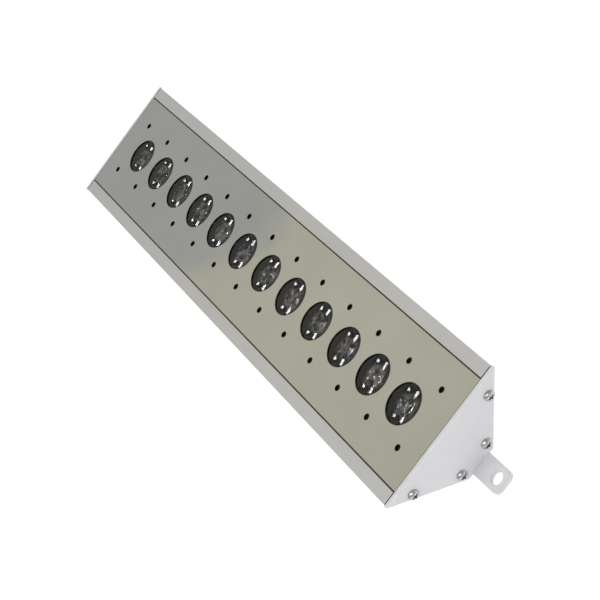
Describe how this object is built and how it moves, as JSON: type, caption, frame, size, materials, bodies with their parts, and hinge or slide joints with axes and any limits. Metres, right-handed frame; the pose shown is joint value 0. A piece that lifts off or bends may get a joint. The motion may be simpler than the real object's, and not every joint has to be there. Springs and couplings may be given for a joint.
{
  "type": "pool light",
  "caption": "Linear LED pool light: V-section extruded housing, pierced front plate over recessed lenses, screwed end caps with drilled fixing lugs and a cable gland.",
  "frame": {"origin": "centre of the part on the plane of the lugs' underside", "axes": "+X along the lamp, away from the cable gland, +Y across it, +Z the way it shines"},
  "size_m": [0.548, 0.1038, 0.0435],
  "materials": {
    "housing_metal": "satin anodised",
    "plate_metal": "polished sheet",
    "cap_coat": "white powder coat",
    "black_rubber": "matte",
    "board_black": "black solder mask",
    "board_green": "green solder mask",
    "grey_pad": "soft matte",
    "steel": "zinc plated",
    "black_resin": "poured resin",
    "component_black": "moulded",
    "terminal_green": "moulded",
    "lead_red": "insulated wire",
    "clear_lens": "clear moulded silicone",
    "holder_black": "moulded",
    "led_emitter": "silicone dome on a pale base",
    "gland_nylon": "moulded nylon"
  },
  "bodies": {
    "root": {"housing": "housing_metal", "front_plate": "plate_metal", "plate_seals": "black_rubber", "led_board": "board_black", "thermal_pad": "grey_pad", "board_screws": "steel", "potting": "black_resin", "driver_pad": "grey_pad", "driver_board": "board_green", "driver_components": "component_black", "driver_terminals": "terminal_green", "board_leads": "lead_red", "end_cap_left": "cap_coat", "end_cap_right": "cap_coat", "end_gasket_left": "black_rubber", "end_gasket_right": "black_rubber", "end_cap_screws_left": "steel", "end_cap_screws_right": "steel", "gland_washer": "black_rubber", "gland_body": "gland_nylon", "gland_seal": "black_rubber", "gland_nut": "gland_nylon", "gland_locknut": "gland_nylon", "lens_01": "clear_lens", "lens_holder_01": "holder_black", "led_01": "led_emitter", "lens_02": "clear_lens", "lens_holder_02": "holder_black", "led_02": "led_emitter", "lens_03": "clear_lens", "lens_holder_03": "holder_black", "led_03": "led_emitter", "lens_04": "clear_lens", "lens_holder_04": "holder_black", "led_04": "led_emitter", "lens_05": "clear_lens", "lens_holder_05": "holder_black", "led_05": "led_emitter", "lens_06": "clear_lens", "lens_holder_06": "holder_black", "led_06": "led_emitter", "lens_07": "clear_lens", "lens_holder_07": "holder_black", "led_07": "led_emitter", "lens_08": "clear_lens", "lens_holder_08": "holder_black", "led_08": "led_emitter", "lens_09": "clear_lens", "lens_holder_09": "holder_black", "led_09": "led_emitter", "lens_10": "clear_lens", "lens_holder_10": "holder_black", "led_10": "led_emitter", "lens_11": "clear_lens", "lens_holder_11": "holder_black", "led_11": "led_emitter", "lens_12": "clear_lens", "lens_holder_12": "holder_black", "led_12": "led_emitter"}
  },
  "joints": []
}
